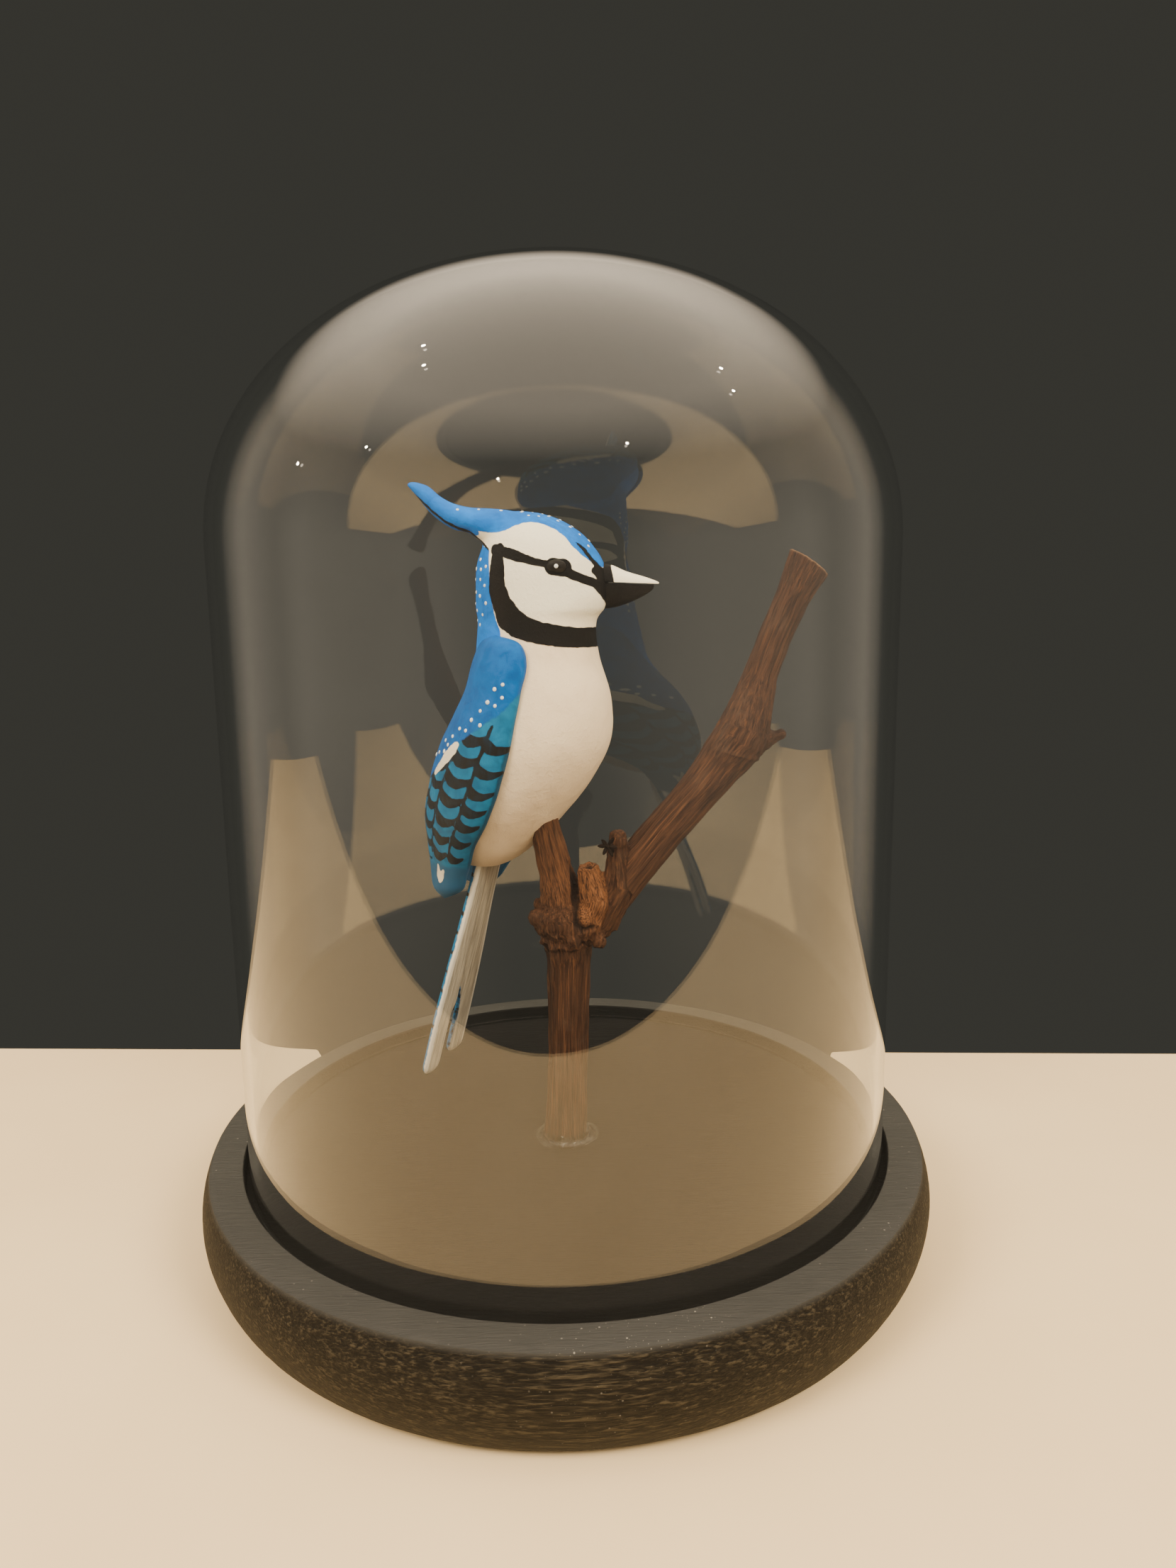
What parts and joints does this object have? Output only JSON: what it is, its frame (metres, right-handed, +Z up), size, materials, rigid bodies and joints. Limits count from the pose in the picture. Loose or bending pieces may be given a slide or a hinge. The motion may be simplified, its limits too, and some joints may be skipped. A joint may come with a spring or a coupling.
{
  "type": "bell jar dome",
  "caption": "Blown glass cloche resting in the recess of a turned black wooden base, over a painted wooden bird perched on a forked branch.",
  "frame": {"origin": "middle of the underside of the felt, on the surface the base stands on", "axes": "+Z up along the axis of base and dome, +X the way the bird's beak points, -Y the side that the bird's breast is turned towards"},
  "size_m": [0.2288, 0.2288, 0.2938],
  "materials": {
    "black_stained_wood": "black stain with open grain",
    "black_felt": "pressed felt",
    "clear_glass": "clear blown glass",
    "vine_bark": "dry, fibrous, lightly varnished",
    "clear_glue": "clear set glue",
    "steel": "plain",
    "dowel_wood": "bare",
    "painted_white": "brushed warm white paint",
    "painted_blue": "brushed blue paint",
    "painted_black": "satin black paint"
  },
  "bodies": {
    "base": {"turned_base": "black_stained_wood", "base_felt": "black_felt", "forked_branch": "vine_bark", "foot_glue": "clear_glue", "stem_screw": "steel", "perch_pin": "dowel_wood", "bird_body": "painted_white", "crest": "painted_blue", "beak_upper": "painted_white", "beak_lower": "painted_black", "wing_right": "painted_blue", "wing_left": "painted_blue", "tail_feather_right": "painted_white", "tail_feather_left": "painted_white", "eye_right": "painted_black", "eye_left": "painted_black"},
    "dome": {"glass_dome": "clear_glass"}
  },
  "joints": [
    {"name": "dome_lift", "type": "slide", "parent": "base", "child": "dome", "axis": [0, 0, 1], "range_m": [0, 0.24]}
  ]
}
